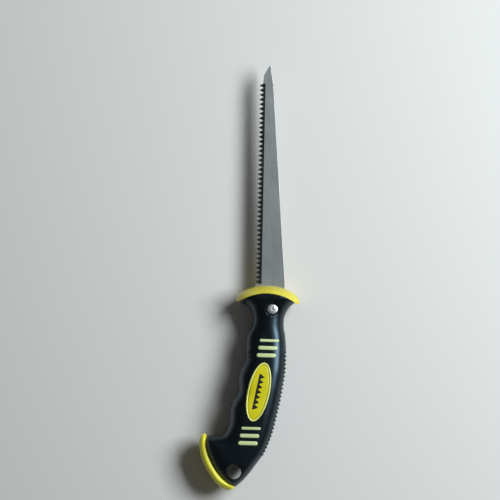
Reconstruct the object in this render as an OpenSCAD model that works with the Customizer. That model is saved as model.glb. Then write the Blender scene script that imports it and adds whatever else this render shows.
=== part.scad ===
// Drywall saw: a pointed steel blade bolted into a two-shell moulded handle with a soft overmoulded grip.
// The saw lies flat on its side. +Y runs along the blade to its point, +X towards the back of the blade,
// +Z up through the thickness. Lists hold [y, x] or [y, half thickness] pairs, from the front of the guard.

/* [Blade] */
// Length of the blade from the front of the guard to its point
blade_length = 150; // [110:1:200]
// Width of the blade over the teeth at the guard
blade_width = 20; // [15:0.5:22]
// Width between the two edge lines of the blade at its point
blade_tip_width = 8.4; // [6:0.1:12]
// Thickness of the blade
blade_thickness = 1.2; // [0.8:0.1:2]
// Distance from one tooth to the next
tooth_pitch = 3.175; // [2:0.025:5]
// Depth of the teeth
tooth_depth = 2.9; // [1:0.1:3.5]
// Length of the slanted cut at the point
point_length = 13; // [8:0.5:25]
// Width of the tang inside the handle
tang_width = 9.5; // [7:0.1:10.5]
// Length of the tang behind the front of the guard
tang_length = 39; // [36:0.5:42]

/* [Handle] */
// Length of the handle from the front of the guard to the heel
handle_length = 138.5; // [115:0.5:170]
// Width of the handle at the middle of the badge
palm_width = 29.5; // [26:0.5:36]
// Full thickness of the handle at the palm and at the guard
handle_thickness = 28; // [26:0.5:36]
// Thickness of the handle at the neck
neck_thickness = 22; // [21:0.5:26]
// Wall of the soft grip
grip_wall = 2.2; // [1.6:0.1:2.4]
// Wall of the hollow core shells
shell_wall = 2.2; // [1.6:0.1:3]
// Thickness of the ribs in the core shells
rib_thickness = 2; // [1.2:0.1:3]
// Number of hollow cells between the ribs
cell_count = 5; // [3:1:8]

/* [Guard and heel] */
// Width of the guard lip
guard_width = 44.4; // [40:0.2:54]
// Depth of the guard lip at its middle, front to back
guard_depth = 5.3; // [5:0.1:8]
// Thickness of the heel cap
heel_cap_thickness = 15; // [10:0.5:18]
// How far the heel cap is let into the grip
heel_cap_anchor = 2; // [1:0.1:2.4]

/* [Badge and bars] */
// Length of the oval badge
badge_length = 40.8; // [30:0.2:48]
// Width of the oval badge
badge_width = 15.2; // [10:0.2:18]
// How far the badge stands proud of the grip
badge_raise = 0.4; // [0.1:0.1:1]
// Length of one bar inlay
bar_length = 13.3; // [8:0.1:15]
// Distance from one bar to the next
bar_pitch = 5; // [4:0.1:6]
// How far the badge and the bars are let into the grip
inlay_depth = 1.4; // [0.8:0.1:1.5]

/* [Fasteners] */
// Thread diameter of the blade screw
screw_diameter = 4; // [3:0.1:4.4]
// Diameter of the screw head
head_diameter = 8; // [6:0.1:8.6]
// Height of the screw head
head_height = 2.8; // [2:0.1:3.5]
// Diameter of the recess round the screw head
recess_diameter = 9.3; // [9:0.1:11]
// Width of the nut across its flats
nut_width = 7; // [5.5:0.1:8]
// Height of the nut
nut_height = 3.2; // [2.4:0.1:4]
// Height of the lock washer
washer_height = 1; // [0.6:0.1:1.4]
// Diameter of the tang pin
pin_diameter = 3; // [2:0.1:4]

/* [Hang hole] */
// Diameter of the hang hole
hole_diameter = 9.6; // [6:0.1:11]
// Length of the hang hole through the handle
hole_length = 16.8; // [15:0.1:18]

/* [Hidden] */
$fn = 64;

clearance = 0.1;
reach = 60;
sheet = 0.02;

// The outlines are drawn for this length and palm width, and follow handle_length and palm_width.
drawn_length = 138.5;
drawn_palm = 29.5;
// Ahead of fixed_to the handle keeps its size, and by free_from it has the full change in width.
fixed_to = -50;
free_from = -65;
stretch = (handle_length + fixed_to) / (drawn_length + fixed_to);
function along(y) = y > fixed_to ? y : fixed_to + (y - fixed_to) * stretch;
function widen(y) = 1 + (palm_width / drawn_palm - 1) * min(max((fixed_to - y) / (fixed_to - free_from), 0), 1);
function placed(list) = [for (p = list) [along(p[0]), p[1] * widen(p[0])]];

// Guard
guard_x = -1.8;
guard_tilt = -3.4;
dome_depth = 12.5;
seat_radius = 33;
lip_nose = 1.6;
// How far the rounded ends stay inside the guard's full width
nose_trim = 0.334;
seat_x = -3.4;
seat_y = -guard_depth - seat_radius;
guard_left = guard_x - guard_width / 2;
guard_right = guard_x + guard_width / 2;
flare_step = 2.8;

// Outline of the soft grip: the palm side faces -X, and the back side faces +X.
palm_side = smooth(concat(
    [[2, guard_left + flare_step], [-10.9, guard_left + flare_step]],
    placed([
        [-12.9, -16.6], [-17, -13], [-22, -12], [-27, -13.1], [-31, -15.3], [-37, -16.9], [-43, -17.2],
        [-49, -17.3], [-54, -19.6], [-59, -21.8], [-64, -22.5], [-71, -22.8], [-78, -26.6], [-84, -28.7],
        [-92, -29.3], [-97, -31.2], [-100, -33.6], [-100.8, -38], [-101.2, -44.6], [-102.6, -46.2],
        [-107, -46.7], [-112, -45.8], [-119, -43.2], [-125, -40.1], [-130.5, -36.1], [-134, -32.6],
        [-136.3, -28.4]
    ])
));
back_side = smooth(concat(
    [[2, guard_right - flare_step], [-11.8, guard_right - flare_step]],
    placed([
        [-13.5, 14.7], [-17.5, 11.2], [-23, 9.1], [-28, 8.8], [-35, 9.7], [-44, 10.1], [-56, 9.6],
        [-68, 7.7], [-78, 5.7], [-88.5, 3.1], [-99, 0.2], [-107, -2.8], [-115, -6.9], [-121, -11.5],
        [-128, -17], [-133.3, -22.2], [-136.3, -26.1]
    ])
));
// Half thickness along the handle, as shares of the palm's half thickness where it is behind the neck.
palm_half = handle_thickness / 2 - badge_raise;
neck_half = neck_thickness / 2;
thickness_line = smooth([
    for (p = [
        [2, palm_half], [-7, palm_half], [-11, 0.3 * neck_half + 0.7 * palm_half],
        [-16, 0.75 * neck_half + 0.25 * palm_half], [-22, neck_half], [-34, neck_half],
        [-48, 0.6 * neck_half + 0.4 * palm_half], [-60, 0.15 * neck_half + 0.85 * palm_half],
        [-72, palm_half], [-86, palm_half], [-100, 0.97 * palm_half], [-114, 0.93 * palm_half],
        [-125, 0.86 * palm_half], [-130.5, 0.77 * palm_half], [-134, 0.6 * palm_half],
        [-136.3, 0.3 * palm_half]
    ]) [along(p[0]), p[1]]
]);
section_power = 2.7;
// Where the handle is thickest across its width
crown_line = smooth(placed([
    [2, -2], [-22, -1.6], [-44, -3.6], [-64, -7.2], [-78, -10.5], [-92, -13.6], [-107, -18.5], [-119, -24],
    [-128, -27], [-136.3, -27.2]
]));
ring_count = 28;
longest_step = 5.6;
grip_end = along(-136.3);
// Where the stations of an inner skin move, as a share of its depth: below the heel's top, and off the end.
station_shift = placed([[-94, 0], [-100, -1], [-103, -1], [-112, 0], [-126, 0], [-136.3, 1]]);

// Heel cap, a crescent round the outer edge of the heel
cap_outer = smooth(placed([
    [-98.9, -46.7], [-100.5, -48.5], [-103, -49.8], [-106.5, -50.4], [-113, -49.7], [-119, -48],
    [-125, -45.1], [-131, -41.5], [-135, -37.9], [-137.6, -34.5], [-138.5, -31.8]
]));
cap_inner = smooth(placed([
    [-98.9, -46.1], [-100.5, -46.2], [-102.6, -46.4], [-107, -46.6], [-112, -45.8], [-119, -43.2],
    [-125, -40.1], [-130.5, -36.1], [-134, -32.2], [-136.2, -28.8], [-137.6, -28.9], [-138.5, -30.4]
]));
cap_anchor_line = placed([[-98.9, 0], [-102.6, 1], [-137.6, 1], [-138.5, 0]]);
cap_half_line = smooth(placed([
    [-98.9, 2.5], [-101, 5.5], [-105, heel_cap_thickness / 2], [-131, heel_cap_thickness / 2],
    [-136.2, 5.5], [-138.5, 2.5]
]));

// Blade: the two edge lines close in at the same rate, so the blade's centreline is the Y axis.
blade_taper = (blade_width - blade_tip_width) / 2 / blade_length;
first_tooth = 1.2;
tooth_count = floor((blade_length - point_length + 3 - first_tooth) / tooth_pitch);
teeth_end = first_tooth + tooth_count * tooth_pitch;
blade_base = 1;
shoulder_y = -guard_depth - 1;
tang_x = 0.6;
tang_step_y = -21;
tang_tail_x = -1.6;
tang_tail_width = tang_width - 1;

// Blade screw, through the tang and both shells
screw_x = 1.4;
screw_y = -15.9;
shank_slack = 0.15;
head_seat = 7.6;
washer_seat = head_seat - washer_height;
nut_seat = -5.1;
screw_end = nut_seat - nut_height - 0.1;
cross_angle = -20;
cross_length = 4.4;
cross_width = 0.9;
cross_depth = 1.6;
washer_width = head_diameter - 0.4;
washer_gap = 0.8;
pin_y = -30.5;
pin_length = 14;

// Two hooked lugs hold the guard lip in pockets of the core shells.
lug_width = 14;
lug_height = 3.4;
lug_end = -10.8;
lug_base = 3.2;
hook_length = 1.8;
hook_height = 1;

// Core shells: solid round the tang and the hang hole, ribbed and hollow between.
cells_front = -46;
cells_back = along(-109);
cell_step = (cells_front - cells_back) / cell_count;
peg_diameter = 3;
peg_length = 3;
peg_places = [[-3, -43], [-21, along(-113)]];

hole_x = -26.8 * widen(-126.5);
hole_y = along(-126.5);
hole_radius = hole_diameter / 2;
hole_rim = 1.6;

badge_x = -9.2 * widen(-72.1);
badge_y = along(-72.1);
badge_lean = 13.4;
bar_lean = -2.5;
bar_drift = -1.15;
bar_heights = [2, 2.7, 2.8];
bar_raise = 0.3;
upper_bars = [-1.2, -37.3];
lower_bars = [-14.8 * widen(-96.7), along(-96.7)];

// The origin is the middle of the whole saw's box, on the surface that it lies on.
lowest_x = min([for (p = cap_outer) p[1]]);
lowest_y = along(-138.5);
saw_centre = [(lowest_x + guard_right - nose_trim) / 2, (lowest_y + blade_length) / 2];

// Slope of a curve through three values that never overshoots them
function slope(a, b, c) = (b - a) * (c - b) <= 0 ? 0 : 2 * (b - a) * (c - b) / (c - a);
function slopes(v, i) = [for (k = [0, 1]) slope(v[max(i - 1, 0)][k], v[i][k], v[min(i + 1, len(v) - 1)][k])];
function between(a, b, ma, mb, t) =
    a * (2 * t ^ 3 - 3 * t ^ 2 + 1) + ma * (t ^ 3 - 2 * t ^ 2 + t)
    + b * (3 * t ^ 2 - 2 * t ^ 3) + mb * (t ^ 3 - t ^ 2);
// A smooth line through a list of points
function smooth(v, steps = 5) = concat(
    [
        for (i = [0:len(v) - 2], s = [0:steps - 1])
            between(v[i], v[i + 1], slopes(v, i), slopes(v, i + 1), s / steps)
    ],
    [v[len(v) - 1]]
);

// Edges of the handle, set inwards by depth: a disc of that radius rolls along the inside of the line.
sweep = [-90:15:90];
function left_edge(y, depth) =
    depth <= 0 ? lookup(y, palm_side) + depth
    : max([for (a = sweep) lookup(y + depth * sin(a), palm_side) + depth * cos(a)]);
function right_edge(y, depth) =
    depth <= 0 ? lookup(y, back_side) - depth
    : min([for (a = sweep) lookup(y + depth * sin(a), back_side) - depth * cos(a)]);
function half_at(y, depth) =
    depth <= 0 ? lookup(y, thickness_line) - depth
    : min([for (a = sweep) lookup(y + depth * sin(a), thickness_line) - depth * cos(a)]);

// Stations along the handle, no further apart than longest_step
control_ys = [for (i = [0:5:len(palm_side) - 1]) palm_side[i][0]];
all_stations = [
    for (i = [0:len(control_ys) - 1])
        let (gap = i == 0 ? 0 : control_ys[i - 1] - control_ys[i], parts = max(ceil(gap / longest_step), 1))
        for (k = [parts - 1:-1:0]) control_ys[i] + gap * k / parts
];
function stations(depth) = [for (y = all_stations) y + max(depth, 0) * lookup(y, station_shift)];

// One rounded section at y, from x = left to x = right, thickest at x = crown
function section(left, right, crown, half, y, power) = [
    for (i = [0:ring_count - 1])
        let (a = 360 * i / ring_count, c = cos(a), s = sin(a))
        [
            crown + (c > 0 ? right - crown : crown - left) * sign(c) * abs(c) ^ (2 / power),
            y,
            half * sign(s) * abs(s) ^ (2 / power)
        ]
];

// A closed solid through a list of sections, each further from the front than the last. The quads above the blade
// split along one diagonal and those below along the other, so that the two sides mirror each other.
module loft(sections) {
    n = ring_count;
    last = len(sections) - 1;
    polyhedron(
        points = [for (s = sections, p = s) p],
        faces = concat(
            [[for (i = [0:n - 1]) i]],
            [
                for (k = [0:last - 1], i = [0:n - 1])
                    let (a = k * n + i, b = k * n + (i + 1) % n, c = a + n, d = b + n)
                    for (f = i < n / 2 ? [[a, d, b], [a, c, d]] : [[a, c, b], [b, c, d]]) f
            ],
            [[for (i = [n - 1:-1:0]) last * n + i]]
        )
    );
}

// The handle's outer form set inwards by depth, or outwards where depth is below zero
module handle_form(depth, from = 100, to = -400) {
    ys = concat(
        from < 2 ? [from] : [],
        [for (y = stations(depth)) if (y < from - 0.3 && y > to + 0.3) y],
        to > grip_end ? [to] : []
    );
    loft([
        for (y = ys)
            let (left = left_edge(y, depth), right = right_edge(y, depth))
            section(
                left, right, min(max(lookup(y, crown_line), left + 0.3), right - 0.3), half_at(y, depth), y,
                section_power
            )
    ]);
}

// Everything ahead of the curved seat between the guard lip and the handle
module front_space() {
    difference() {
        translate([-reach, -guard_depth - seat_radius, -reach / 2]) cube([2 * reach, reach, reach]);
        translate([seat_x, seat_y, -reach]) cylinder(r = seat_radius, h = 2 * reach);
    }
}

module rod(d, from, to) {
    translate([0, 0, from]) cylinder(d = d, h = to - from);
}

module hexagon(width, from, to) {
    translate([0, 0, from]) cylinder(d = width / cos(30), h = to - from, $fn = 6);
}

module at_screw() {
    translate([screw_x, screw_y, 0]) children();
}

module placed_saw() {
    translate([-saw_centre[0], -saw_centre[1], handle_thickness / 2]) children();
}

// Half width of the blade, from its centreline to an edge line, at a distance y ahead of the guard
function blade_half(y) = blade_width / 2 - blade_taper * y;

// The tang with its shoulders, set outwards by gap, from the tooth side round to the back
function tang_points(gap) =
    let (half = tang_width / 2 + gap, tail = tang_tail_width / 2 + gap)
    [
        [-blade_half(blade_base) - gap, blade_base], [-blade_half(shoulder_y) - gap, shoulder_y - gap],
        [tang_x - half, shoulder_y - gap], [tang_tail_x - tail, tang_step_y - gap],
        [tang_tail_x - tail, -tang_length - gap], [tang_tail_x + tail, -tang_length - gap],
        [tang_tail_x + tail, tang_step_y - gap], [tang_x + half, tang_step_y - gap + 2],
        [tang_x + half, shoulder_y - gap], [blade_half(shoulder_y) + gap, shoulder_y - gap],
        [blade_half(blade_base) + gap, blade_base]
    ];

module blade() {
    back = blade_half(blade_length - point_length);
    point = [
        [back, blade_length - point_length], [0.82 * back, blade_length - 0.5 * point_length],
        [0.72 * back, blade_length - 1.2], [0.62 * back, blade_length], [0.35 * back, blade_length - 1.8],
        [-0.3 * back, 0.55 * teeth_end + 0.45 * blade_length], [tooth_depth - blade_half(teeth_end), teeth_end]
    ];
    teeth = [
        for (i = [tooth_count - 1:-1:0])
            let (y = first_tooth + i * tooth_pitch)
            for (p = [[-blade_half(y), y + tooth_pitch / 2], [tooth_depth - blade_half(y), y]]) p
    ];
    color([0.56, 0.57, 0.56]) placed_saw() difference() {
        translate([0, 0, -blade_thickness / 2])
            linear_extrude(blade_thickness) polygon(concat(tang_points(0), point, teeth));
        at_screw() rod(screw_diameter + 2 * shank_slack, -5, 5);
        translate([tang_tail_x, pin_y, 0]) rod(pin_diameter + 0.1, -5, 5);
    }
}

module blade_screw() {
    dome = head_diameter * 0.8;
    color([0.82, 0.83, 0.84]) placed_saw() at_screw() difference() {
        union() {
            rod(screw_diameter - 0.1, screw_end, head_seat + 0.5);
            intersection() {
                rod(head_diameter, head_seat, head_seat + head_height);
                translate([0, 0, head_seat + head_height - dome]) sphere(r = dome, $fn = 96);
            }
        }
        for (turn = [0, 90])
            rotate(cross_angle + turn)
                translate([-cross_length / 2, -cross_width / 2, head_seat + head_height - cross_depth])
                    cube([cross_length, cross_width, 5]);
    }
}

module lock_washer() {
    color([0.45, 0.46, 0.48]) placed_saw() at_screw() difference() {
        rod(washer_width, washer_seat, head_seat);
        rod(screw_diameter + 0.2, washer_seat - 1, head_seat + 1);
        rotate(60) translate([0, -washer_gap / 2, washer_seat - 1]) cube([washer_width, washer_gap, 4]);
    }
}

module blade_nut() {
    color([0.66, 0.67, 0.69]) placed_saw() at_screw() difference() {
        hexagon(nut_width, nut_seat - nut_height, nut_seat);
        rod(screw_diameter, nut_seat - nut_height - 1, nut_seat + 1);
    }
}

module tang_pin() {
    color([0.6, 0.6, 0.62]) placed_saw() translate([tang_tail_x, pin_y, 0])
        rod(pin_diameter, -pin_length / 2, pin_length / 2);
}

// One hooked lug above the blade, drawn larger by gap
module lug(gap) {
    translate([-lug_width / 2 - gap, lug_end - gap, lug_base - gap])
        cube([lug_width + 2 * gap, -lug_end, lug_height + 2 * gap]);
    translate([-lug_width / 2 - gap, lug_end - gap, lug_base - gap])
        cube([lug_width + 2 * gap, hook_length + 2 * gap, lug_height + hook_height + 2 * gap]);
}

// Plan of the guard lip, with its two ends rounded off
module lip_plan() {
    offset(r = lip_nose) offset(delta = -lip_nose) difference() {
        translate([guard_x, -dome_depth]) rotate(guard_tilt)
            scale([guard_width / 2, dome_depth]) circle(1, $fn = 120);
        translate([seat_x, seat_y]) circle(seat_radius);
    }
}

module guard_lip() {
    steps = 12;
    first_angle = 4;
    last_angle = 100;
    dome_half = handle_thickness / 2 / sin(acos(1 - guard_depth / dome_depth));
    color([0.86, 0.79, 0.16]) placed_saw() difference() {
        union() {
            intersection() {
                translate([guard_x, -dome_depth, 0]) rotate(guard_tilt) loft([
                    for (a = [first_angle:(last_angle - first_angle) / steps:last_angle + 0.1])
                        section(
                            -guard_width / 2 * sin(a), guard_width / 2 * sin(a), 0, dome_half * sin(a),
                            dome_depth * cos(a), 2
                        )
                ]);
                linear_extrude(2 * reach, center = true) lip_plan();
            }
            intersection() {
                for (side = [0, 1]) mirror([0, 0, side]) lug(0);
                translate([-reach, lug_end - 1, -reach])
                    cube([2 * reach, -lug_end - guard_depth / 2 + 1, 2 * reach]);
            }
        }
        translate([0, 0, -blade_thickness / 2 - clearance])
            linear_extrude(blade_thickness + 2 * clearance) polygon(tang_points(0.2));
    }
}

// The hollow cells of a shell, left between its ribs
module cells() {
    intersection() {
        handle_form(grip_wall + shell_wall);
        for (i = [0:cell_count - 1])
            translate([-reach, cells_front - (i + 1) * cell_step + rib_thickness / 2, -reach / 2])
                cube([2 * reach, cell_step - rib_thickness, reach]);
    }
}

// One half of the core, on the side above the blade; the other half is its mirror image.
module half_core() {
    difference() {
        intersection() {
            handle_form(grip_wall);
            translate([-reach, -4 * reach, 0]) cube([2 * reach, 5 * reach, reach]);
        }
        cells();
        front_space();
        cap_form(2 * clearance);
        lug(clearance);
        translate([0, 0, -1]) linear_extrude(1 + blade_thickness / 2 + clearance / 2) polygon(tang_points(0.2));
        at_screw() rod(screw_diameter + 0.3, -1, reach / 2);
        translate([tang_tail_x, pin_y, 0]) rod(pin_diameter, -1, pin_length / 2);
        translate([hole_x, hole_y, 0]) rod(hole_diameter + 2 * hole_rim, -1, reach / 2);
    }
}

module core_front_shell() {
    color([0.85, 0.8, 0.15]) placed_saw() difference() {
        half_core();
        at_screw() rod(recess_diameter, washer_seat, reach / 2);
        for (p = peg_places) translate([p[0], p[1], 0]) rod(peg_diameter + 0.1, -1, peg_length + 0.2);
    }
}

module core_rear_shell() {
    color([0.8, 0.75, 0.13]) placed_saw() union() {
        difference() {
            mirror([0, 0, 1]) half_core();
            at_screw() hexagon(nut_width + clearance, -reach / 2, nut_seat);
        }
        for (p = peg_places) translate([p[0], p[1], 0]) rod(peg_diameter, -1, peg_length);
    }
}

// The cap, set outwards by gap
module cap_form(gap = 0) {
    ys = [for (i = [0:4:len(cap_outer) - 2]) cap_outer[i][0]];
    loft([
        for (y = concat(ys, [along(-138.5)]))
            let (left = lookup(y, cap_outer) - gap)
            let (right = lookup(y, cap_inner) + heel_cap_anchor * lookup(y, cap_anchor_line) + gap)
            section(left, right, (left + right) / 2, lookup(y, cap_half_line) + gap, y, 2.4)
    ]);
}

module heel_cap() {
    color([0.84, 0.8, 0.18]) placed_saw() cap_form();
}

module badge_plan() {
    count = 48;
    translate([badge_x, badge_y]) rotate(-badge_lean) polygon([
        for (i = [0:count - 1]) [badge_width / 2 * cos(360 * i / count), badge_length / 2 * sin(360 * i / count)]
    ]);
}

module bars_plan(first) {
    for (i = [0:2])
        translate([first[0] + i * bar_drift, first[1] - i * bar_pitch]) rotate(bar_lean) {
            square([bar_length - bar_heights[i], bar_heights[i]], center = true);
            for (end = [-1, 1]) translate([end * (bar_length - bar_heights[i]) / 2, 0]) circle(d = bar_heights[i]);
        }
}

// A thin inlay that follows the grip's surface, with the outline of its 2D child
module inlay(middle, half_span, raise) {
    from = middle + half_span;
    to = middle - half_span;
    difference() {
        intersection() {
            linear_extrude(reach / 2) children();
            handle_form(-raise, from, to);
        }
        handle_form(inlay_depth, from + 1, to - 1);
    }
}

module badge() {
    inlay(badge_y, badge_length / 2 + 1, badge_raise) badge_plan();
}

module bars(first) {
    inlay(first[1] - bar_pitch, bar_pitch + 4, bar_raise) bars_plan(first);
}

module every_inlay() {
    badge();
    bars(upper_bars);
    bars(lower_bars);
}

module grip_overmould() {
    color([0.1, 0.1, 0.11]) placed_saw() difference() {
        union() {
            difference() {
                handle_form(0);
                handle_form(grip_wall);
            }
            translate([hole_x, hole_y, 0]) rod(hole_diameter + 2 * hole_rim, -hole_length / 2, hole_length / 2);
        }
        front_space();
        cap_form();
        every_inlay();
        mirror([0, 0, 1]) every_inlay();
        at_screw() rod(recess_diameter, 0, reach / 2);
        at_screw() rod(recess_diameter, -reach / 2, 0);
        for (side = [0, 1])
            mirror([0, 0, side]) translate([hole_x, hole_y, 0])
                rod(hole_diameter + 2 * hole_rim, hole_length / 2, reach / 2);
        translate([hole_x, hole_y, 0]) rod(hole_diameter, -reach / 2, reach / 2);
    }
}

module front_badge() {
    color([0.88, 0.82, 0.1]) placed_saw() badge();
}

module rear_badge() {
    color([0.88, 0.82, 0.1]) placed_saw() mirror([0, 0, 1]) badge();
}

module front_upper_bars() {
    color([0.78, 0.86, 0.6]) placed_saw() bars(upper_bars);
}

module front_lower_bars() {
    color([0.78, 0.86, 0.6]) placed_saw() bars(lower_bars);
}

module rear_upper_bars() {
    color([0.78, 0.86, 0.6]) placed_saw() mirror([0, 0, 1]) bars(upper_bars);
}

module rear_lower_bars() {
    color([0.78, 0.86, 0.6]) placed_saw() mirror([0, 0, 1]) bars(lower_bars);
}

blade();
blade_screw();
lock_washer();
blade_nut();
tang_pin();
core_front_shell();
core_rear_shell();
guard_lip();
heel_cap();
grip_overmould();
front_badge();
rear_badge();
front_upper_bars();
front_lower_bars();
rear_upper_bars();
rear_lower_bars();
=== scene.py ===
"""Visual model of the drywall saw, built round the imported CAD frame.

Sizes are millimetres in the saw's own layout: x = 0 on the blade's centreline, y = 0 at the front of the
guard, z = 0 in the blade's mid-plane, +Y to the point, +X to the blade's smooth back. place() puts them in
the frame.
"""
import math

import bmesh
import bpy
import numpy as np
from mathutils import Matrix, Vector


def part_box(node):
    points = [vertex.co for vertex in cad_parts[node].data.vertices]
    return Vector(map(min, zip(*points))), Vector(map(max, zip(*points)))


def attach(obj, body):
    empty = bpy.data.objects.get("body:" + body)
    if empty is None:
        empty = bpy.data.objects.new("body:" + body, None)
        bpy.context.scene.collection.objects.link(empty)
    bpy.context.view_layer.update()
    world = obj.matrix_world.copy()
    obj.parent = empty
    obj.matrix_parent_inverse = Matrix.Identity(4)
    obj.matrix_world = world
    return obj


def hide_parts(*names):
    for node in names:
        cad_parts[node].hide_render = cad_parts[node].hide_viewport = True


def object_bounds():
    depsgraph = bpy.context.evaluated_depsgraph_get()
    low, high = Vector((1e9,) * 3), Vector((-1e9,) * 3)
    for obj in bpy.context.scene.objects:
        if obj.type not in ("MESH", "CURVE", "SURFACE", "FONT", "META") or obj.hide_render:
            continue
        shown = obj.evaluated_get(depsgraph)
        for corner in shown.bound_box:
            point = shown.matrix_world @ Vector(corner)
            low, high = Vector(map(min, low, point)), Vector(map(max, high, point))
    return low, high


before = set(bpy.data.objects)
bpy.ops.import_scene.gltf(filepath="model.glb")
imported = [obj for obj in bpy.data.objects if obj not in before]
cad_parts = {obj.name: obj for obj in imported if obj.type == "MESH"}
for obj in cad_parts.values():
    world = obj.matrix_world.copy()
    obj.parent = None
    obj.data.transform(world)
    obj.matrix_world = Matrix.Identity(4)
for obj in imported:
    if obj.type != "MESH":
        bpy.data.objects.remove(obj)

CAD_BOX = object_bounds()
MM = 0.001
BODY = "root"

# ---------------------------------------------------------------------------------------------- layout
BLADE_LENGTH = 150.0
blade_low, blade_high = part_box("blade")
ORIGIN = Vector((
    (blade_low.x + blade_high.x) / 2,
    blade_high.y - BLADE_LENGTH * MM,
    (blade_low.z + blade_high.z) / 2,
))
BLADE_THICKNESS = (blade_high.z - blade_low.z) / MM
GRIP_SUNK = 0.4  # how far the grip's faces lie under the guard's
HALF_PALM = CAD_BOX[1][2] / 2 / MM - GRIP_SUNK


def smooth_line(points, steps=12):
    """A curve through [y, value] points that never overshoots them, as two arrays in rising order of y."""
    p = np.array(points, float)
    step = np.diff(p, axis=0)
    slope = np.zeros_like(p)
    for k in (0, 1):
        for i in range(1, len(p) - 1):
            a, b = step[i - 1, k], step[i, k]
            slope[i, k] = 2 * a * b / (a + b) if a * b > 0 else 0.0
    t = np.linspace(0, 1, steps, endpoint=False)[:, None]
    out = []
    for i in range(len(p) - 1):
        out.append(
            p[i] * (2 * t ** 3 - 3 * t ** 2 + 1) + slope[i] * (t ** 3 - 2 * t ** 2 + t)
            + p[i + 1] * (3 * t ** 2 - 2 * t ** 3) + slope[i + 1] * (t ** 3 - t ** 2)
        )
    line = np.vstack(out + [p[-1:]])
    return line if line[0, 0] < line[-1, 0] else line[::-1]


def along(line, y):
    """The line's value at y."""
    return np.interp(y, line[:, 0], line[:, 1])


PALM_SIDE = smooth_line([
    [12, -19.4], [-10.9, -21.1], [-12.9, -16.6], [-17, -13], [-22, -12], [-27, -13.1], [-31, -15.3],
    [-37, -16.9], [-43, -17.2], [-49, -17.3], [-54, -19.6], [-59, -21.8], [-64, -22.5], [-71, -22.8],
    [-78, -26.6], [-84, -28.7], [-92, -29.3], [-97, -31.2], [-100, -33.6], [-100.8, -38], [-101.2, -44.6],
    [-102.6, -46.2], [-107, -46.7], [-112, -45.8], [-119, -43.2], [-125, -40.1], [-130.5, -36.1],
    [-134, -32.6], [-136.3, -28.4],
])
BACK_SIDE = smooth_line([
    [12, 16.8], [-11.8, 16.8], [-13.5, 14.7], [-17.5, 11.2], [-23, 9.1], [-28, 8.8], [-35, 9.7], [-44, 10.1],
    [-56, 9.6], [-68, 7.7], [-78, 5.7], [-88.5, 3.1], [-99, 0.2], [-107, -2.8], [-115, -6.9],
    [-121, -11.5], [-128, -17], [-133.3, -22.2], [-136.3, -26.1],
])
HALF_THICKNESS = smooth_line([
    [12, HALF_PALM], [-7, HALF_PALM], [-11, 12.9], [-16, 11.7], [-22, 11], [-34, 11], [-48, 12],
    [-60, 13.2], [-72, HALF_PALM], [-86, HALF_PALM], [-100, 13.2], [-114, 12.65], [-125, 11.7],
    [-130.5, 10.6], [-134, 9.5], [-136.3, 8.8],
])
EDGE_RADIUS = 11.0
EDGE_POWER = 2.3
GRIP_END = -136.3


def edge_distance(x, y):
    """Distance from each (x, y) to the grip's outline in plan."""
    outline = np.vstack([PALM_SIDE[::-1, ::-1], BACK_SIDE[:, ::-1]])
    best = np.full(x.shape, 1e9)
    for a, b in zip(outline[:-1], outline[1:]):
        span = b - a
        length = max(span @ span, 1e-9)
        t = np.clip(((x - a[0]) * span[0] + (y - a[1]) * span[1]) / length, 0, 1)
        best = np.minimum(best, np.hypot(x - a[0] - t * span[0], y - a[1] - t * span[1]))
    return best


def surface_height(x, y, wall=0.0):
    """Height above the mid-plane of the grip's front face, or of a face a wall inside it.

    The face is flat in the middle and rolls over at the outline.
    """
    x, y = np.asarray(x, float), np.asarray(y, float)
    rise = 1 - np.clip((edge_distance(x, y) - wall) / (EDGE_RADIUS - wall), 0, 1)
    return (along(HALF_THICKNESS, y) - wall) * (1 - rise ** EDGE_POWER) ** (1 / EDGE_POWER)


# ---------------------------------------------------------------------------------------------- meshes
def place(point):
    return ORIGIN + Vector(point) * MM


def mesh_object(name, points, faces, smooth=True):
    """An object whose mesh holds points (in the saw's layout) and faces."""
    mesh = bpy.data.meshes.new(name)
    mesh.from_pydata([place(p) for p in points], [], faces)
    mesh.polygons.foreach_set("use_smooth", [smooth] * len(mesh.polygons))
    mesh.update()
    made = bpy.data.objects.new(name, mesh)
    bpy.context.scene.collection.objects.link(made)
    return made


def outward(obj, merge=1e-7):
    """Merges doubles and turns every face outwards."""
    bm = bmesh.new()
    bm.from_mesh(obj.data)
    bmesh.ops.remove_doubles(bm, verts=bm.verts, dist=merge)
    bmesh.ops.recalc_face_normals(bm, faces=bm.faces)
    bm.to_mesh(obj.data)
    bm.free()
    return obj


def lofted(name, rings, smooth=True):
    """A closed mesh through rings of the same number of points, with a fan at each end."""
    n = len(rings[0])
    points = [tuple(p) for ring in rings for p in ring]
    faces = []
    for k in range(len(rings) - 1):
        for i in range(n):
            j = (i + 1) % n
            faces.append((k * n + i, k * n + j, (k + 1) * n + j, (k + 1) * n + i))
    for k, ring in ((0, rings[0]), (len(rings) - 1, rings[-1])):
        points.append(tuple(np.mean(ring, axis=0)))
        hub = len(points) - 1
        faces += [(k * n + i, k * n + (i + 1) % n, hub) for i in range(n)]
    return outward(mesh_object(name, points, faces, smooth))


def applied(obj, **settings):
    """Adds one modifier of kind settings['type'], applies it and returns the object with a plain mesh."""
    modifier = obj.modifiers.new("step", settings.pop("type"))
    for key, value in settings.items():
        setattr(modifier, key, value)
    return baked(obj)


def baked(obj):
    """Turns the object's modifiers into its mesh."""
    view = bpy.context.evaluated_depsgraph_get()
    mesh = bpy.data.meshes.new_from_object(obj.evaluated_get(view))
    obj.modifiers.clear()
    obj.data = mesh
    return obj


def cut(obj, cutter):
    applied(obj, type="BOOLEAN", operation="DIFFERENCE", object=cutter, solver="EXACT")
    discard(cutter)
    return obj


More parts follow.
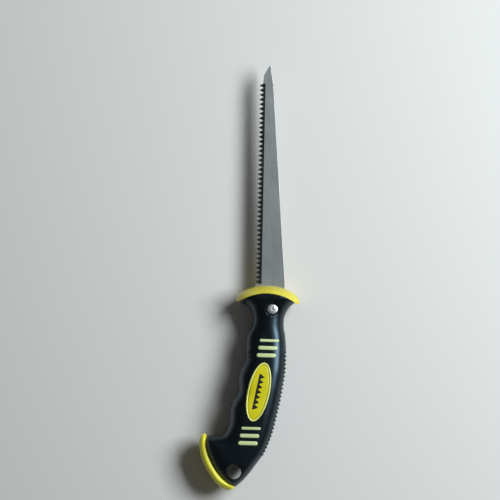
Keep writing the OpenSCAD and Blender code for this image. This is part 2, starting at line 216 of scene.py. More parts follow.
def discard(obj):
    mesh = obj.data
    bpy.data.objects.remove(obj)
    if mesh.users == 0:
        bpy.data.meshes.remove(mesh)


# ---------------------------------------------------------------------------------------------- materials
def linear(code, alpha=1.0):
    """An sRGB hex colour as linear RGBA."""
    channels = [int(code[i:i + 2], 16) / 255 for i in (1, 3, 5)]
    return tuple(c / 12.92 if c <= 0.04045 else ((c + 0.055) / 1.055) ** 2.4 for c in channels) + (alpha,)


def add(tree, kind, settings=None, **links):
    """Adds a node; settings are attributes or socket values, links are sockets fed by (node, output)."""
    node = tree.nodes.new(kind)
    for key, value in (settings or {}).items():
        if isinstance(key, str) and hasattr(node, key):
            setattr(node, key, value)
        else:
            node.inputs[key].default_value = value
    for key, (source, output) in links.items():
        numbered = key[0] == "_" and key[1:].isdigit()
        socket = int(key[1:]) if numbered else key.replace("_", " ")
        tree.links.new(source.outputs[output], node.inputs[socket])
    return node


def material(name):
    """A new material and its empty node tree."""
    made = bpy.data.materials.new(name)
    made.use_nodes = True
    made.node_tree.nodes.clear()
    return made, made.node_tree


def brushed_steel(name, colours, roughness, streak_mm, along_axis, relief):
    """Rolled steel finished by brushing or grinding: parallel scratches that stretch every reflection.

    Real scratches are finer than can be seen from here, so streak_mm draws them as coarse as they need to show.
    """
    made, tree = material(name)
    coords = add(tree, "ShaderNodeTexCoord")
    scale = [1 / (streak_mm * MM)] * 3
    scale[along_axis] = 1 / (streak_mm * 60 * MM)
    turned_to = add(tree, "ShaderNodeMapping", {"Scale": scale}, Vector=(coords, "Object"))
    fine = add(
        tree, "ShaderNodeTexNoise", {"Scale": 1.0, "Detail": 6.0, "Roughness": 0.65},
        Vector=(turned_to, "Vector"),
    )
    broad = add(tree, "ShaderNodeTexNoise", {"Scale": 1 / (14 * MM), "Detail": 3.0}, Vector=(coords, "Object"))
    both = add(tree, "ShaderNodeMath", {"operation": "ADD"}, _0=(fine, "Fac"), _1=(broad, "Fac"))
    mean = add(tree, "ShaderNodeMath", {"operation": "MULTIPLY", 1: 0.5}, _0=(both, "Value"))
    tint = add(tree, "ShaderNodeValToRGB", Fac=(mean, "Value"))
    for stop, position, code in zip(tint.color_ramp.elements, (0.35, 0.65), colours):
        stop.position, stop.color = position, linear(code)
    rough = add(
        tree, "ShaderNodeMapRange", {"To Min": roughness[0], "To Max": roughness[1]}, Value=(fine, "Fac")
    )
    bump = add(tree, "ShaderNodeBump", {"Strength": 0.35, "Distance": relief * MM}, Height=(fine, "Fac"))
    shader = add(
        tree, "ShaderNodeBsdfPrincipled", {"Metallic": 1.0},
        Base_Color=(tint, "Color"), Roughness=(rough, "Result"), Normal=(bump, "Normal"),
    )
    add(tree, "ShaderNodeOutputMaterial", Surface=(shader, "BSDF"))
    return made


def moulded_plastic(name, colours, roughness, grain_mm, relief, coat=0.0, specular=0.5, subsurface=0.0,
                    painted_highlight_tint="#ffffff"):
    """Injection-moulded plastic or rubber: the mould's spark-eroded grain and a faint mottle in its colour.

    The real grain is finer than can be seen from here, so grain_mm draws it as coarse as it needs to show.
    """
    made, tree = material(name)
    coords = add(tree, "ShaderNodeTexCoord")
    grain = add(
        tree, "ShaderNodeTexNoise", {"Scale": 1 / (grain_mm * MM), "Detail": 4.0, "Roughness": 0.6},
        Vector=(coords, "Object"),
    )
    mottle = add(
        tree, "ShaderNodeTexNoise", {"Scale": 1 / (9 * MM), "Detail": 4.0, "Roughness": 0.55},
        Vector=(coords, "Object"),
    )
    tint = add(tree, "ShaderNodeValToRGB", Fac=(mottle, "Fac"))
    for stop, position, code in zip(tint.color_ramp.elements, (0.3, 0.7), colours):
        stop.position, stop.color = position, linear(code)
    rough = add(
        tree, "ShaderNodeMapRange", {"To Min": roughness[0], "To Max": roughness[1]}, Value=(mottle, "Fac")
    )
    bump = add(tree, "ShaderNodeBump", {"Strength": 0.5, "Distance": relief * MM}, Height=(grain, "Fac"))
    # The specular tint paints a colour into every highlight: a painted reflection colour wherever it is not
    # white.
    settings = {
        "IOR": 1.5, "Specular IOR Level": specular, "Specular Tint": linear(painted_highlight_tint),
        "Coat Weight": coat, "Coat Roughness": 0.2,
    }
    if subsurface:
        settings.update({
            "Subsurface Weight": subsurface, "Subsurface Scale": 2 * MM, "Subsurface Radius": (1.0, 0.7, 0.2),
        })
    shader = add(
        tree, "ShaderNodeBsdfPrincipled", settings,
        Base_Color=(tint, "Color"), Roughness=(rough, "Result"), Normal=(bump, "Normal"),
    )
    add(tree, "ShaderNodeOutputMaterial", Surface=(shader, "BSDF"))
    return made


# Brushed carbon steel: a satin mid-grey with streaks along the blade.
BLADE_STEEL = brushed_steel("brushed_carbon_steel", ("#babebc", "#ced2d0"), (0.34, 0.46), 0.25, 1, 0.02)
# Steel ground across the edge and hardened: darker than the plate, partly the hardened steel's own tone and
# partly a painted dark reflection of its ground facets, so the teeth read as a separate strip.
TOOTH_STEEL = brushed_steel("ground_hardened_steel", ("#3e4043", "#707376"), (0.22, 0.34), 0.18, 0, 0.02)
# Nickel plating: the brightest metal on the saw, with soft-edged highlights.
SCREW_METAL = brushed_steel("nickel_plated_steel", ("#eaeae8", "#f4f4f2"), (0.42, 0.5), 0.4, 0, 0.01)
# Phosphated spring steel: nearly black and dull.
WASHER_METAL = brushed_steel("phosphated_spring_steel", ("#2e2e30", "#444548"), (0.4, 0.5), 0.4, 0, 0.01)
# Zinc plating: a cool mid-grey, on the nut and the pin.
NUT_METAL = brushed_steel("zinc_plated_steel", ("#9c9fa2", "#b9bcbe"), (0.25, 0.36), 0.4, 0, 0.01)
# Moulded thermoplastic rubber: nearly black, with a painted cool blue tint on its highlights along the rolled
# edges.
GRIP_RUBBER = moulded_plastic(
    "moulded_thermoplastic_rubber", ("#040506", "#08090a"), (0.3, 0.36), 0.35, 0.03,
    specular=0.8, painted_highlight_tint="#b4d2e8",
)
# Moulded ABS of the badge's field: a strong yellow with a light gloss.
YELLOW_ABS = moulded_plastic(
    "moulded_yellow_abs", ("#d8ca10", "#e0d41c"), (0.28, 0.38), 0.5, 0.02, coat=0.2, subsurface=0.1
)
# Moulded ABS of the guard: paler and softer in colour than the badge; the paleness is a painted reflection laid
# over the same yellow.
LIP_ABS = moulded_plastic(
    "moulded_yellow_abs_lip", ("#d6c536", "#e0cf44"), (0.28, 0.38), 0.5, 0.02, coat=0.2, subsurface=0.1
)
# Bottom of the badge's groove: painted shade, a dull olive line that sets the rim off from the field.
GROOVE_ABS = moulded_plastic("shaded_yellow_abs_groove", ("#7a7010", "#857b18"), (0.4, 0.5), 0.5, 0.01)
# Moulded ABS of the heel cap: a lighter yellow than the guard.
CAP_ABS = moulded_plastic(
    "moulded_yellow_abs_cap", ("#e8dc30", "#f0e63e"), (0.28, 0.38), 0.5, 0.02, coat=0.2, subsurface=0.1
)
# Glossy rim of the badge: a pale line round the field, its paler yellow a painted highlight along the rounded
# rim.
RIM_HIGHLIGHT_ABS = moulded_plastic(
    "glossy_yellow_abs_rim_painted_highlight", ("#ece870", "#f2ee82"), (0.2, 0.28), 0.5, 0.01, coat=0.3, subsurface=0.1
)
# Core plastic coloured black: painted shade that keeps the gaps round the inlays and the screw dark.
CORE_SHADE_PLASTIC = moulded_plastic(
    "core_plastic_painted_shade", ("#121214", "#1a1a1c"), (0.4, 0.5), 0.5, 0.03
)
# Lime polypropylene of the bars: pale, satin and slightly translucent.
LIME_PLASTIC = moulded_plastic(
    "moulded_lime_polypropylene", ("#c6d396", "#d4dfa8"), (0.35, 0.45), 0.5, 0.02, subsurface=0.2
)
# Screen-printed ink: a flat, dull black.
BLACK_INK = moulded_plastic("screen_printed_black_ink", ("#0d0d0d", "#151515"), (0.4, 0.5), 0.3, 0.01)


# ---------------------------------------------------------------------------------------------- shapes
def arc(centre, radius, angles):
    """Points at radius round centre, one for each angle."""
    return [(centre[0] + radius * math.cos(a), centre[1] + radius * math.sin(a)) for a in angles]


def leaned(centre, angle, x, y):
    """The point (x, y) turned by angle and moved to centre."""
    c, s = math.cos(angle), math.sin(angle)
    return centre[0] + x * c - y * s, centre[1] + x * s + y * c


CLEAR = 30  # half height of a cutter that goes right through the handle


def prism(name, outline, z0, z1):
    """An upright prism on an outline of (x, y) points."""
    return lofted(name, [[(x, y, z) for x, y in outline] for z in (z0, z1)], smooth=False)


def rod(name, centre, radius, z0, z1):
    """A closed upright cylinder."""
    return prism(name, arc(centre, radius, [2 * math.pi * i / 96 for i in range(96)]), z0, z1)


def turned(name, centre, profile, sides=96, reach=None, sweep=(0, 2 * math.pi)):
    """A lathed piece: (r, z) points turned about an upright axis; reach(angle, r, z) may alter each radius."""
    n, whole = len(profile), abs(sweep[1] - sweep[0] - 2 * math.pi) < 1e-6
    angles = np.linspace(sweep[0], sweep[1], sides, endpoint=not whole)
    points, faces = [], []
    for a in angles:
        for r, z in profile:
            r = reach(a, r, z) if reach else r
            points.append((centre[0] + r * math.cos(a), centre[1] + r * math.sin(a), z))
    for k in range(sides if whole else sides - 1):
        for i in range(n):
            j, m = (i + 1) % n, (k + 1) % sides
            faces.append((k * n + i, k * n + j, m * n + j, m * n + i))
    if not whole:
        faces += [tuple(range(n)), tuple((sides - 1) * n + i for i in range(n))]
    return outward(mesh_object(name, points, faces))


def joined(name, parts):
    """Several objects' meshes as one object."""
    bm = bmesh.new()
    for part in parts:
        bm.from_mesh(part.data)
        discard(part)
    mesh = bpy.data.meshes.new(name)
    bm.to_mesh(mesh)
    bm.free()
    made = bpy.data.objects.new(name, mesh)
    bpy.context.scene.collection.objects.link(made)
    return made


def fused(obj, voxel_mm, rounds, factor=0.5):
    """Melts the object's shells into one skin and relaxes it, which rounds every edge as moulding does."""
    applied(obj, type="REMESH", mode="VOXEL", voxel_size=voxel_mm * MM, use_smooth_shade=True)
    applied(obj, type="SMOOTH", factor=factor, iterations=rounds)
    return obj


def without_fragments(obj, least=12):
    """Deletes islands of fewer than least faces, which an exact cut can leave along an edge."""
    bm = bmesh.new()
    bm.from_mesh(obj.data)
    bmesh.ops.triangulate(bm, faces=[face for face in bm.faces if len(face.verts) > 4])
    seen, stray = set(), []
    for start in bm.faces:
        if start in seen:
            continue
        island, queue = [], [start]
        seen.add(start)
        while queue:
            face = queue.pop()
            island.append(face)
            for edge in face.edges:
                if len(edge.link_faces) == 2:
                    for near in edge.link_faces:
                        if near not in seen:
                            seen.add(near)
                            queue.append(near)
        if len(island) < least:
            stray += island
    bmesh.ops.delete(bm, geom=stray, context="FACES")
    bm.to_mesh(obj.data)
    bm.free()
    return obj


def creased(obj, degrees):
    """Smooth shading that stops at edges sharper than degrees."""
    obj.data.polygons.foreach_set("use_smooth", [True] * len(obj.data.polygons))
    obj.data.set_sharp_from_angle(angle=math.radians(degrees))
    return obj


def finished(obj, node, slot, *mats):
    """Gives a piece its materials and its body, and hides the CAD node that it stands for; slot is not used."""
    if not obj.data.materials:
        for mat in mats:
            obj.data.materials.append(mat)
    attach(obj, BODY)
    if node:
        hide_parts(node)
    return obj


# ---------------------------------------------------------------------------------------------- blade
BLADE_HALF = 10.0
BLADE_TAPER = (20.0 - 8.4) / 2 / BLADE_LENGTH
TOOTH_PITCH = 3.175
TOOTH_DEPTH = 2.9
GROUND_DEPTH = 4.1
FIRST_TOOTH = 1.2
BLADE_BASE = 1.0
POINT_LENGTH = 13.0
SHOULDER = -7.2
TOOTH_COUNT = int((BLADE_LENGTH - POINT_LENGTH + 3 - FIRST_TOOTH) // TOOTH_PITCH)
TEETH_END = FIRST_TOOTH + TOOTH_COUNT * TOOTH_PITCH


def blade_half(y):
    """Half width of the blade, from the centreline to an edge line."""
    return BLADE_HALF - BLADE_TAPER * y


def tooth_mesh(name, side):
    """One tooth on its strip of ground steel, tip at -X, with both flanks bevelled towards one face."""
    half = TOOTH_PITCH / 2
    t = BLADE_THICKNESS / 2
    thin = t - 0.06
    # The cutting outline lies on the face away from side. On the near face the bevels have taken it back.
    far = [(0.0, 0.0), (TOOTH_DEPTH, -half), (GROUND_DEPTH, -half), (GROUND_DEPTH, half), (TOOTH_DEPTH, half)]
    near = [(1.15, 0.0), (TOOTH_DEPTH + 0.35, -half + 0.32), (GROUND_DEPTH, -half), (GROUND_DEPTH, half),
            (TOOTH_DEPTH + 0.35, half - 0.32)]
    points = [(x, y, -side * thin) for x, y in far] + [(x, y, side * thin) for x, y in near]
    faces = [
        (0, 1, 2, 3, 4), (9, 8, 7, 6, 5), (0, 1, 6, 5), (4, 0, 5, 9), (2, 3, 8, 7),
        (1, 2, 7), (1, 7, 6), (3, 4, 8), (4, 9, 8),
    ]
    mesh = bpy.data.meshes.new(name)
    mesh.from_pydata([Vector(p) * MM for p in points], [], faces)
    made = bpy.data.objects.new(name, mesh)
    bpy.context.scene.collection.objects.link(made)
    return outward(made, merge=1e-8)


def path_object(name, points):
    """An open curve through points."""
    curve = bpy.data.curves.new(name, "CURVE")
    curve.dimensions = "3D"
    spline = curve.splines.new("POLY")
    spline.points.add(len(points) - 1)
    for knot, p in zip(spline.points, points):
        knot.co = (*place(p), 1)
    made = bpy.data.objects.new(name, curve)
    bpy.context.scene.collection.objects.link(made)
    return made


def repeated_along(name, path, shapes, pitch, mat):
    """Copies of shapes, taken in turn, every pitch along a path: a Geometry Nodes tree, made a plain mesh."""
    tree = bpy.data.node_groups.new(name, "GeometryNodeTree")
    face = tree.interface
    face.new_socket("Geometry", in_out="INPUT", socket_type="NodeSocketGeometry")
    face.new_socket("Pitch", in_out="INPUT", socket_type="NodeSocketFloat")
    face.new_socket("Path", in_out="INPUT", socket_type="NodeSocketObject")
    face.new_socket("Finish", in_out="INPUT", socket_type="NodeSocketMaterial")
    for i in range(len(shapes)):
        face.new_socket(f"Shape {i + 1}", in_out="INPUT", socket_type="NodeSocketObject")
    face.new_socket("Geometry", in_out="OUTPUT", socket_type="NodeSocketGeometry")
    start, end = add(tree, "NodeGroupInput"), add(tree, "NodeGroupOutput")
    line = add(tree, "GeometryNodeObjectInfo", {"transform_space": "ORIGINAL"}, Object=(start, "Path"))
    places = add(
        tree, "GeometryNodeResampleCurve", {"mode": "LENGTH"}, Curve=(line, "Geometry"), Length=(start, "Pitch")
    )
    tangent = add(tree, "GeometryNodeInputTangent")
    aligned = add(
        tree, "FunctionNodeAlignRotationToVector", {"axis": "Y", "pivot_axis": "Z"}, Vector=(tangent, "Tangent")
    )
    index = add(tree, "GeometryNodeInputIndex")
    order = add(tree, "ShaderNodeMath", {"operation": "MODULO", 1: float(len(shapes))}, _0=(index, "Index"))
    group = add(tree, "GeometryNodeJoinGeometry")
    for i in range(len(shapes)):
        shape = add(
            tree, "GeometryNodeObjectInfo", {"transform_space": "ORIGINAL"}, Object=(start, f"Shape {i + 1}")
        )
        chosen = add(
            tree, "FunctionNodeCompare", {"data_type": "FLOAT", "operation": "EQUAL", 1: float(i), 12: 0.1},
            _0=(order, "Value"),
        )
        copies = add(
            tree, "GeometryNodeInstanceOnPoints", None, Points=(places, "Curve"), Selection=(chosen, "Result"),
            Instance=(shape, "Geometry"), Rotation=(aligned, "Rotation"),
        )
        tree.links.new(copies.outputs["Instances"], group.inputs[0])
    real = add(tree, "GeometryNodeRealizeInstances", None, Geometry=(group, "Geometry"))
    finish = add(
        tree, "GeometryNodeSetMaterial", None, Geometry=(real, "Geometry"), Material=(start, "Finish")
    )
    tree.links.new(finish.outputs["Geometry"], end.inputs["Geometry"])
    carrier = mesh_object(name, [(0, 0, 0)], [])
    modifier = carrier.modifiers.new("repeat", "NODES")
    modifier.node_group = tree
    values = {"Pitch": pitch * MM, "Path": path, "Finish": mat}
    values.update({f"Shape {i + 1}": shape for i, shape in enumerate(shapes)})
    for item in tree.interface.items_tree:
        if item.item_type == "SOCKET" and item.in_out == "INPUT" and item.name in values:
            modifier[item.identifier] = values[item.name]
    baked(carrier)
    for helper in [*shapes, path]:
        bpy.data.objects.remove(helper)
    return carrier


def make_blade_plate():
    """Body of the blade: a flat tapered plate up to the ground strip, with its point, shoulders and tang."""
    back = blade_half(BLADE_LENGTH - POINT_LENGTH)
    strip = [(GROUND_DEPTH - blade_half(y), y) for y in (TEETH_END, FIRST_TOOTH)]
    outline = [
        (-blade_half(BLADE_BASE), BLADE_BASE), (-blade_half(SHOULDER), SHOULDER),
        (-4.15, SHOULDER), (-5.85, -21), (-5.85, -39), (2.65, -39), (2.65, -21), (5.35, -19), (5.35, SHOULDER),
        (blade_half(SHOULDER), SHOULDER), (back, BLADE_LENGTH - POINT_LENGTH),
        (0.82 * back, BLADE_LENGTH - 0.5 * POINT_LENGTH), (0.72 * back, BLADE_LENGTH - 1.2),
        (0.62 * back, BLADE_LENGTH), (0.35 * back, BLADE_LENGTH - 1.8),
        (-0.3 * back, 0.55 * TEETH_END + 0.45 * BLADE_LENGTH),
        (TOOTH_DEPTH - 0.4 - blade_half(TEETH_END), TEETH_END),
        *strip,
    ]
    t = BLADE_THICKNESS / 2
    n = len(outline)
    points = [(x, y, z) for z in (-t, t) for x, y in outline]
    faces = [tuple(range(n)), tuple(range(2 * n - 1, n - 1, -1))]
    faces += [(i, (i + 1) % n, n + (i + 1) % n, n + i) for i in range(n)]
    plate = outward(mesh_object("blade_plate", points, faces, smooth=False))
    return applied(
        plate, type="BEVEL", width=0.05 * MM, segments=2, limit_method="ANGLE", angle_limit=math.radians(50)
    )


def make_teeth():
    """Teeth along the front edge, bevelled to one face and the other in turn."""
    first, last = FIRST_TOOTH + TOOTH_PITCH / 2, TEETH_END - TOOTH_PITCH / 2
    path = path_object("tooth_line", [(-blade_half(y), y, 0) for y in (first, last + 0.01)])
    shapes = [tooth_mesh("tooth_up", 1), tooth_mesh("tooth_down", -1)]
    length = math.hypot(blade_half(first) - blade_half(last), last - first)
    return repeated_along("blade_teeth", path, shapes, length / (TOOTH_COUNT - 1), TOOTH_STEEL)


# ---------------------------------------------------------------------------------------------- grip
HOLE = (-26.8, -126.5)
HOLE_RADIUS = 4.8
HOLE_HALF = 8.4
SCREW = (1.4, -15.9)
RECESS_RADIUS = 4.65
WALL = 2.2
SEAT_CENTRE = (-3.4, -38.3)
SEAT_RADIUS = 33.0
RIB_PITCH = 2.75
RIB_FACE = 12.6  # half thickness of the grip that the ribs bend over
GRIP_VOXEL = 0.43
INLAY_ROOM = [(-0.08, 3), (-0.08, -0.85)]


def seat_front(name, radius):
    """Everything ahead of the curved seat that the guard lip sits on."""
    front = arc(SEAT_CENTRE, radius, np.linspace(0.3, math.pi - 0.3, 90))
    return prism(name, front + [(-60, -20), (-60, 40), (60, 40), (60, -20)], -CLEAR, CLEAR)


def relief(y):
    """How far the flat strip that carries the back ribs lies inside the grip's outline."""
    return np.interp(y, (-118, -112, -92, -52, -46, -43.5), (0, 0.45, 0.8, 0.8, 0.6, 0))


def face_ring(x, y, z):
    """A closed ring across the handle at y, from its front face's heights z and their mirror image."""
    z[0] = z[-1] = 0
    ys = [y] * len(x)
    return [*zip(x, ys, z), *zip(x[-2:0:-1], ys, -z[-2:0:-1])]


def body_rings(stations, count):
    """Rings across the handle, with points spread over its width and raised to the grip's faces."""
    spread = (1 - np.cos(np.linspace(0, math.pi, count))) / 2
    rings = []
    for y in stations:
        x = along(PALM_SIDE, y) + (along(BACK_SIDE, y) - relief(y) - along(PALM_SIDE, y)) * spread
        rings.append(face_ring(x, y, surface_height(x, np.full(count, y))))
    return rings


def inner_rings(stations, count):
    """Rings of the hard core inside the grip, a wall's thickness in from every face."""
    rings = []
    for y in stations:
        x = np.linspace(along(PALM_SIDE, y), along(BACK_SIDE, y), 400)
        inside = x[edge_distance(x, np.full(400, y)) > WALL]
        x = inside[0] + (inside[-1] - inside[0]) * (1 - np.cos(np.linspace(0, math.pi, count))) / 2
        rings.append(face_ring(x, y, surface_height(x, np.full(count, y), WALL)))
    return rings


def rib_mesh(name, side, proud, half_width, span, sunk):
    """One grip rib: a round bar that bends over the rolled edge and thins to its two ends."""
    rings, turn = [], np.linspace(0, 2 * math.pi, 10, endpoint=False)
    for s in np.linspace(-1, 1, 15):
        z = s * span
        bend = EDGE_RADIUS * (1 - (1 - abs(z / RIB_FACE) ** EDGE_POWER) ** (1 / EDGE_POWER))
        inset = max(sunk, bend)
        size = (1 - abs(s) ** 4) * 0.75 + 0.25
        rings.append([(side * (proud * size * math.cos(a) - inset), half_width * math.sin(a), z) for a in turn])
    rib = lofted(name, rings)
    rib.data.transform(Matrix.Translation(-ORIGIN))
    return rib


def make_ribs(name, line, side, span_y, proud, half_width, span, sunk):
    """Fine cross ribs along one edge of the grip."""
    ys = np.linspace(span_y[0], span_y[1], 160)
    path = path_object(name + "_line", [(along(line, y), y, 0) for y in ys])
    rib = rib_mesh(name + "_rib", side, proud, half_width, span, sunk)
    return repeated_along(name, path, [rib], RIB_PITCH, GRIP_RUBBER)


def make_grip():
    """Soft grip: the rolled-edge body with its ribs, recesses and hang hole, melted into one moulded skin."""
    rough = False
    stations = np.unique(np.concatenate([
        np.linspace(4, GRIP_END, 90 if rough else 220),
        np.linspace(-99, -103, 60),
        np.linspace(-134, GRIP_END, 24),
    ]))[::-1]
    body = lofted("grip_body", body_rings(stations, 56))
    cut(body, seat_front("seat_front", SEAT_RADIUS - 0.1))
    funnel = [
        (HOLE_RADIUS, -1), (HOLE_RADIUS, HOLE_HALF), (HOLE_RADIUS + 0.9, HOLE_HALF + 3),
        (HOLE_RADIUS + 1.5, 20), (0, 20), (0, -1),
    ]
    for sign in (-1, 1):
        cut(body, rod("recess", SCREW, RECESS_RADIUS, *sorted((sign * 4, sign * CLEAR))))
        cut(body, turned("hang_hole", HOLE, [(r, sign * z) for r, z in funnel]))
    ribs = [
        make_ribs("back_ribs", BACK_SIDE, 1, (-115, -45.5), 1.2, 0.86, 7.2, 0.8),
        make_ribs("palm_ribs", PALM_SIDE, -1, (-96, -45), 0.5, 0.78, 8.2, 0),
    ]
    grip = joined("soft_grip_skin", [body, *ribs])
    if not rough:
        fused(grip, GRIP_VOXEL, 3)
    grip.data.materials.clear()
    inner = np.concatenate([[6], np.linspace(2, -99.4, 34), np.linspace(-103.4, -133, 12)])
    core = lofted("core_form", inner_rings(inner, 24))
    cut(core, rod("lining", HOLE, HOLE_RADIUS + 1.6, -CLEAR, CLEAR))
    cut(grip, core)
    cut(grip, make_cap("cap_room", 0.06))
    for mirror in (1, -1):
        cut(grip, badge_shape("badge_room", mirror, INLAY_ROOM, 64))
        for upper in (True, False):
            for i in range(3):
                cut(grip, bar_shape("bar_room", mirror, upper, i, INLAY_ROOM))
    return creased(without_fragments(grip), 38)


# ---------------------------------------------------------------------------------------------- guard lip
LIP_NOSE = 1.6
LIP_HALF = 22.2
LIP_DEPTH = 5.3
LIP_LEAN = math.radians(-3.4)
LIP_VOXEL = 0.33
DOME_DEPTH = 12.5
DOME_CENTRE = (-1.8, -DOME_DEPTH)


def lip_nose(side):
    """Outline of what is cut from one end of the lip, so that it ends in a round nose between dome and seat."""
    c, s = math.cos(LIP_LEAN), math.sin(LIP_LEAN)
    turn = np.linspace(0, 2 * math.pi, 6000)
    dome = np.c_[leaned(DOME_CENTRE, LIP_LEAN, LIP_HALF * np.cos(turn), DOME_DEPTH * np.sin(turn))]
    best = None
    for a in np.linspace(0.5, 1.4, 1800):
        out = np.array([side * math.cos(a), math.sin(a)])
        hub = np.array(SEAT_CENTRE) + (SEAT_RADIUS + LIP_NOSE) * out
        gap = np.hypot(*(dome - hub).T)
        miss = abs(gap.min() - LIP_NOSE)
        u, v = hub - np.array(DOME_CENTRE)
        across, up = (u * c + v * s) / LIP_HALF, (v * c - u * s) / DOME_DEPTH
        if across ** 2 + up ** 2 < 1 and (best is None or miss < best[0]):
            best = (miss, hub, dome[gap.argmin()], hub - LIP_NOSE * out)
    _, hub, on_dome, on_seat = best
    a0, a1 = (math.atan2(*(p - hub)[::-1]) for p in (on_dome, on_seat))
    if side > 0:
        a1 += 2 * math.pi if a1 > a0 + math.pi else 0
        a1 -= 2 * math.pi if a1 > a0 else 0
    else:
        a1 += 2 * math.pi if a1 < a0 else 0
    nose = arc(hub, LIP_NOSE, np.linspace(a0, a1, 24))
    down = on_seat + np.array([-side * 1.5, -6.0])
    away = on_dome + np.array([side * 6.0, 3.0])
    return nose + [tuple(down), (on_seat[0] + side * 9, on_seat[1] - 8), tuple(away)]


def make_guard_lip():
    """Hard lip that arches round the blade: a slice of a flattened dome with two hooked lugs behind it."""
    turn = [2 * math.pi * i / 96 for i in range(96)]
    half_z = (HALF_PALM + GRIP_SUNK) / math.sin(math.acos(1 - LIP_DEPTH / DOME_DEPTH))
    rings = []
    for a in np.radians(np.linspace(2, 100, 50)):
        ring = []
        for b in turn:
            x, y = LIP_HALF * math.sin(a) * math.cos(b), DOME_DEPTH * math.cos(a)
            ring.append((*leaned(DOME_CENTRE, LIP_LEAN, x, y), half_z * math.sin(a) * math.sin(b)))
        rings.append(ring)
    dome = lofted("guard_dome", rings)
    seat = arc(SEAT_CENTRE, SEAT_RADIUS, np.linspace(0, 2 * math.pi, 200, endpoint=False))
    cut(dome, prism("seat", seat, -CLEAR, CLEAR))
    for side in (1, -1):
        cut(dome, prism("nose", lip_nose(side), -CLEAR, CLEAR))
    parts = [dome]
    for sign in (1, -1):
        for y0, y1, z0, z1 in ((-10.8, -5, 3.2, 6.6), (-10.8, -9, 3.2, 7.6)):
            lug = [(-7, y0), (7, y0), (7, y1), (-7, y1)]
            parts.append(prism("lug", lug, *sorted((sign * z0, sign * z1))))
    lip = joined("guard_lip_moulding", parts)
    fused(lip, LIP_VOXEL, 4)
    slot = [
        (-blade_half(2) - 0.2, 4), (-blade_half(-7.4) - 0.2, -7.4), (-4.35, -7.4), (-4.8, -12), (5.55, -12),
        (5.55, -7.4), (blade_half(-7.4) + 0.2, -7.4), (blade_half(2) + 0.2, 4),
    ]
    cut(lip, prism("blade_slot", slot, -BLADE_THICKNESS / 2 - 0.1, BLADE_THICKNESS / 2 + 0.1))
    lip.data.materials.clear()
    return creased(lip, 40)


# ---------------------------------------------------------------------------------------------- heel cap
CAP_OUTER = smooth_line([
    [-98.9, -46.7], [-100.5, -48.5], [-103, -49.8], [-106.5, -50.4], [-113, -49.7], [-119, -48],
    [-125, -45.1], [-131, -41.5], [-135, -37.9], [-137.6, -34.5], [-138.5, -31.8],
])
CAP_INNER = smooth_line([
    [-98.9, -46.1], [-100.5, -46.2], [-102.6, -46.4], [-107, -46.6], [-112, -45.8], [-119, -43.2],
    [-125, -40.1], [-130.5, -36.1], [-134, -32.2], [-136.2, -28.8], [-137.6, -28.9], [-138.5, -30.4],
])
CAP_ANCHOR = np.array([[-138.5, 0], [-137.6, 2], [-102.6, 2], [-98.9, 0]], float)
CAP_HALF = smooth_line([[-98.9, 2.5], [-101, 5.5], [-105, 7.5], [-131, 7.5], [-136.2, 5.5], [-138.5, 2.5]])
CAP_TOP = -99.8
CAP_TRIM = 0.06  # keeps the cap's outer edge inside the CAD's
CAP_POWER = 2.4  # squareness of the cap's section


def make_cap(name, gap=0.0):
    """Crescent cap round the outer edge of the heel, set outwards by gap."""
    rings, turn = [], [2 * math.pi * i / 56 for i in range(56)]
    stations = np.unique(np.concatenate([
        np.linspace(-138.5, -134, 16), np.linspace(-134, -103, 60), np.linspace(-103, CAP_TOP, 14),
    ]))
    for y in stations:
        left, half = along(CAP_OUTER, y) + CAP_TRIM - gap, along(CAP_HALF, y) + gap
        right = along(CAP_INNER, y) + along(CAP_ANCHOR, y) + gap
        middle, reach = (left + right) / 2, (right - left) / 2
        ring = []
        for a in turn:
            c, s = math.cos(a), math.sin(a)
            x = middle + reach * math.copysign(abs(c) ** (2 / CAP_POWER), c)
            ring.append((x, y, half * math.copysign(abs(s) ** (2 / CAP_POWER), s)))
        rings.append(ring)
    return lofted(name, rings)


# ---------------------------------------------------------------------------------------------- inlays
BADGE = (-9.2, -72.1)
BADGE_LEAN = math.radians(-13.4)
BADGE_HALF = (7.6, 20.4)


def layered(name, mirror, outline, layers, mats=()):
    """A closed inlay that follows the grip's face.

    outline(inset) gives a ring, layers are (inset, rise) from the top centre outwards and back under, and mats
    gives the material number of each band between layers.
    """
    points, faces, numbers = [], [], []
    for inset, rise in layers:
        ring = np.array(outline(inset))
        z = surface_height(ring[:, 0], ring[:, 1]) + rise
        points += [(x, y, mirror * h) for (x, y), h in zip(ring, z)]
    n = len(points) // len(layers)
    for k in range(len(layers) - 1):
        for i in range(n):
            faces.append((k * n + i, k * n + (i + 1) % n, (k + 1) * n + (i + 1) % n, (k + 1) * n + i))
            numbers.append(mats[k] if mats else 0)
    for k in (0, len(layers) - 1):
        half = n // 2
        for i in range(half - 1):
            a, b, c, d = (k * n + (j % n) for j in (i, i + 1, n - 1 - i - 1, n - 1 - i))
            faces.append((a, b, c, d))
            numbers.append(mats[min(k, len(mats) - 1)] if mats else 0)
    made = mesh_object(name, points, faces)
    made.data.polygons.foreach_set("material_index", numbers)
    return outward(made, merge=1e-9)


def badge_ring(inset, count):
    """The badge's oval, set inwards."""
    out = []
    for i in range(count):
        a = 2 * math.pi * (i + 0.5) / count - math.pi / 2
        x, y = max(BADGE_HALF[0] - inset, 0.05) * math.cos(a), (BADGE_HALF[1] - inset) * math.sin(a)
        out.append(leaned(BADGE, BADGE_LEAN, x, y))
    return out


def badge_shape(name, mirror, layers, count=120, mats=()):
    return layered(name, mirror, lambda inset: badge_ring(inset, count), layers, mats)


